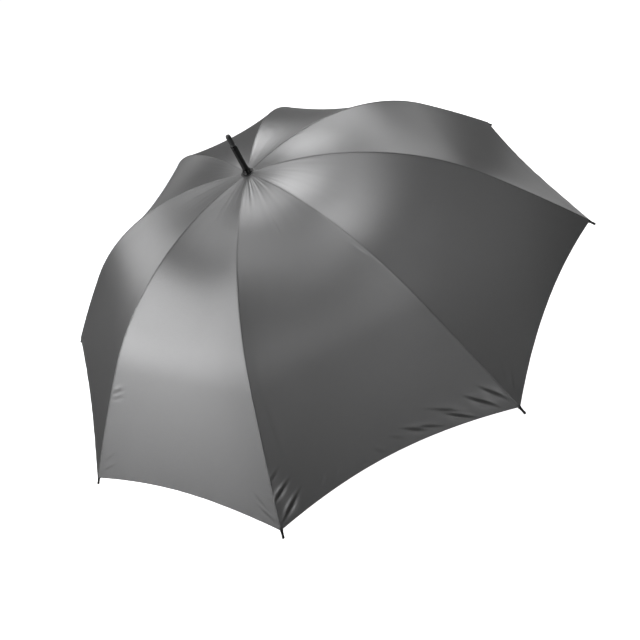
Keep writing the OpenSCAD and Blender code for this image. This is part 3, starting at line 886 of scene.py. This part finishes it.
# ---- handle ----
GRIP_HOLE_R = 11.6
GRIP_SHOULDER = 4.0        # length of the rounded shoulder at each end
GRIP_SHOULDER_IN = 3.2
GROOVES = (-60, -55, 55, 60)
GROOVE_DEPTH = 0.7
GROOVE_WIDTH = 1.1


def build_grip():
    """A straight foam sleeve with two shallow grooves near each end and soft shoulders."""
    top = np.append(np.linspace(GRIP_HALF - GRIP_SHOULDER, GRIP_HALF - 0.2, 9), [GRIP_HALF, GRIP_HALF])
    z = np.concatenate([-top[::-1], np.linspace(-67, 67, 135), top])
    shoulder = np.clip((GRIP_HALF - np.abs(z)) / GRIP_SHOULDER, 0, 1)
    radius = GRIP_R - GRIP_SHOULDER_IN * (1 - np.sqrt(1 - (1 - shoulder) ** 2))
    for groove in GROOVES:
        radius = radius - GROOVE_DEPTH * np.exp(-((z - groove) / GROOVE_WIDTH) ** 2)
    radius[0] = radius[-1] = GRIP_HOLE_R
    grip = lathe("foam_grip", list(zip(radius, z)), FOAM, segments=96, angle=50)
    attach(grip, "shaft_group")
    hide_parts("grip")


def build_collar_and_cap():
    """The collar above the grip and the cap under it."""
    ring = rounded([(SHAFT_HOLE_R, 2.1), (13.2, 2.1), (14.0, 2.7), (14.0, 3.9), (13.2, 4.4), (12.8, 5.2),
                    (9.4, 9.4), (8.9, 10.1), (SHAFT_HOLE_R, 10.1)], 0.5, 3)
    ring.append((SHAFT_HOLE_R, 2.1))
    collar = lathe("handle_collar_turned", [(r, GRIP_HALF + z) for r, z in ring], PLASTIC, segments=80)
    cap_r = GRIP_R - 0.4
    cap = rounded([(0.0, -7.8), (8.0, -7.8), (8.6, -8.8), (9.4, -9.0), (12.2, -9.0), (14.8, -8.2),
                   (cap_r, -5.6), (cap_r, -2.3), (cap_r - 0.5, -2.1), (0.0, -2.1)], 0.9, 4)
    end = lathe("end_cap_turned", [(r, z - GRIP_HALF) for r, z in cap], SATIN_PLASTIC, segments=80)
    for piece, node in ((collar, "handle_collar"), (end, "end_cap")):
        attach(piece, "shaft_group")
        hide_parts(node)


build_grip()
build_collar_and_cap()


# ---- runner's wire ----
WIRE_R = 0.8
WIRE_STEPS = 96
WIRE_SIDES = 10


def build_wire_ring():
    """The closed ring of wire that the stretchers' eyes turn on."""
    low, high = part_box("runner_wire")
    height = (low.z + high.z) / 2 / MM
    turn = np.linspace(0, 2 * math.pi, WIRE_STEPS, endpoint=False)
    round_wire = np.linspace(0, 2 * math.pi, WIRE_SIDES, endpoint=False)
    tt, ww = np.meshgrid(turn, round_wire, indexing="ij")
    r = PIVOT[0] + WIRE_R * np.cos(ww)
    z = height + WIRE_R * np.sin(ww)
    points = np.stack([r * np.cos(tt), r * np.sin(tt), z], -1).reshape(-1, 3) * MM
    faces = grid_faces(WIRE_STEPS, WIRE_SIDES, closed=True)
    last = (WIRE_STEPS - 1) * WIRE_SIDES
    for j in range(WIRE_SIDES):
        beside = (j + 1) % WIRE_SIDES
        faces.append((last + j, last + beside, beside, j))
    wire = new_object("runner_wire_ring", points, faces, STEEL)
    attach(wire, "runner")
    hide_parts("runner_wire")


build_wire_ring()


# ---- strap ----
STRAP_FROM_HEM = 35.0
STRAP_T = 0.7
STRAP_CLEAR = 3.4          # how far the band hangs below the panel at its ends
STRAP_ROWS = 64
STRAP_COLUMNS = 15
HOOKS_T = 0.6
HOOKS_SHARE = 0.8          # width of the hook tape as a share of the band's
HOOK_ROWS = slice(-17, -1)     # the band's rows that the hook tape covers, near its free end


def build_strap():
    """The tie band on the inside of its panel, with hook tape at its free end."""
    s_hem = RIB_LEN - STRAP_FROM_HEM
    along = np.linspace(0, STRAP_LEN - 4, STRAP_ROWS)
    across = np.linspace(-STRAP_W / 2, STRAP_W / 2, STRAP_COLUMNS)
    aa, yy = np.meshgrid(along, across, indexing="ij")
    s = s_hem - aa
    u = yy / (rib_curve(s)[0] * math.sin(HALF))
    uneven = 0.25 * np.sin(aa / 9.0) + 0.2 * np.cos(yy / 6.0)
    clear = STRAP_CLEAR + 1.2 * np.sin(np.pi * aa / STRAP_LEN) + uneven
    points = panel_points(STRAP_PANEL, s, u, depth=clear)
    uvs = np.stack([yy, aa], -1).reshape(-1, 2) * MM
    band = new_object("tie_band", points.reshape(-1, 3), grid_faces(*s.shape), SEAM, uvs=uvs)
    thicken(band, STRAP_T, 0.0)
    tape_s = s[HOOK_ROWS]
    tape_points = panel_points(STRAP_PANEL, tape_s, u[HOOK_ROWS] * HOOKS_SHARE,
                               depth=clear[HOOK_ROWS] + 0.75)
    tape = new_object("tie_band_hooks", tape_points.reshape(-1, 3), grid_faces(*tape_s.shape), HOOKS)
    thicken(tape, HOOKS_T, 0.0)
    for piece in (band, tape):
        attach(piece, f"canopy_outer_{STRAP_PANEL}")
    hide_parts("tie_strap")


build_strap()

# ---- CAD nodes that keep their shape ----
NODE_MATERIALS = {
    "shaft": SHAFT_PAINT, "crown": SATIN_PLASTIC, "crown_wire": STEEL, "crown_pin": STEEL,
    "upper_stop": SATIN_PLASTIC, "catch_pins": STEEL, "catch_springs": STEEL, "handle_core": SATIN_PLASTIC,
    "runner": SATIN_PLASTIC, "top_catch": STEEL, "bottom_catch": STEEL,
}
NODE_MATERIALS.update({f"stretcher_{k}": STRETCHER_PAINT for k in range(1, RIBS + 1)})
NODE_BEVELS = {"crown": 0.35, "runner": 0.35, "upper_stop": 0.4}
for node_name, node_material in NODE_MATERIALS.items():
    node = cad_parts[node_name]
    if not node.material_slots:
        node.data.materials.append(node_material)
    for slot in node.material_slots:
        slot.link = "OBJECT"
        slot.material = node_material
    if node_name in NODE_BEVELS:
        bevel(node, NODE_BEVELS[node_name])


# ---- floor and light ----
FLOOR_Z = -0.081
FLOOR_HALF = 25.0
FLOOR_GLOW = 1.0


def add_floor():
    """A white studio floor that glows, so it shows no shadow, and that is clear from below."""
    paper = Shader("studio_white", Roughness=0.9, Base_Color=grey(0.8), Emission_Strength=FLOOR_GLOW)
    paper.bsdf.inputs["Emission Color"].default_value = (1.0, 1.0, 1.0, 1.0)
    output = next(n for n in paper.tree.nodes if n.type == "OUTPUT_MATERIAL")
    from_below = paper.node("NewGeometry").outputs["Backfacing"]
    clear = paper.node("BsdfTransparent").outputs["BSDF"]
    shown = paper.node("MixShader", {0: from_below, 1: paper.bsdf.outputs["BSDF"], 2: clear})
    paper.tree.links.new(shown.outputs["Shader"], output.inputs["Surface"])
    corners = [(x * FLOOR_HALF, y * FLOOR_HALF, FLOOR_Z) for x, y in ((-1, -1), (1, -1), (1, 1), (-1, 1))]
    floor = new_object("floor", corners, [(0, 1, 2, 3)], paper.material, smooth=False)
    floor.visible_glossy = False
    floor.visible_diffuse = False
    floor.visible_shadow = False


# round area lights: for each elevation, the power in watts of the light at each azimuth, in degrees
LIGHT_RINGS = {
    -58: {20: 12.0, 140: 12.0, 260: 12.0},
    -26: {150: 3.0},
    0: {165: 3.0},
    15: {60: 4.0, 120: 2.5, 240: 5.5, 300: 2.5, 330: 4.0},
    35: {120: 1.5, 150: 10.0, 180: 11.0, 270: 4.0, 300: 8.0, 330: 16.0},
    55: {180: 4.0, 210: 3.0, 240: 4.0, 300: 10.0},
    76: {135: 3.5},
}
LIGHT_AIM = Vector((0, 0, 0.65))
LIGHT_DISTANCE = 2.6
LIGHT_WIDTH = 1.0
WORLD_LIGHT = 0.02


def add_light(az, el, power):
    a, e = math.radians(az), math.radians(el)
    data = bpy.data.lights.new(f"softbox_{az}_{el}", "AREA")
    data.shape = "DISK"
    data.size = LIGHT_WIDTH
    data.energy = power
    light = bpy.data.objects.new(data.name, data)
    scene.collection.objects.link(light)
    towards = Vector((math.sin(a) * math.cos(e), -math.cos(a) * math.cos(e), math.sin(e)))
    light.location = LIGHT_AIM + towards * LIGHT_DISTANCE
    light.rotation_euler = towards.to_track_quat("Z", "Y").to_euler()
    light.visible_camera = False


def add_world():
    """A white backdrop that gives the object only a little light."""
    world = bpy.data.worlds.new("studio")
    scene.world = world
    world.use_nodes = True
    sky = next(n for n in world.node_tree.nodes if n.type == "BACKGROUND")
    sky.inputs["Color"].default_value = (1.0, 1.0, 1.0, 1.0)
    seen = world.node_tree.nodes.new("ShaderNodeLightPath").outputs["Is Camera Ray"]
    strength = world.node_tree.nodes.new("ShaderNodeMath")
    strength.operation = "MAXIMUM"
    strength.inputs[1].default_value = WORLD_LIGHT
    world.node_tree.links.new(seen, strength.inputs[0])
    world.node_tree.links.new(strength.outputs[0], sky.inputs["Strength"])


add_floor()
for elevation, powers in LIGHT_RINGS.items():
    for light_azimuth, watts in powers.items():
        add_light(light_azimuth, elevation, watts)
add_world()
scene.view_settings.view_transform = "Standard"
scene.view_settings.look = "None"
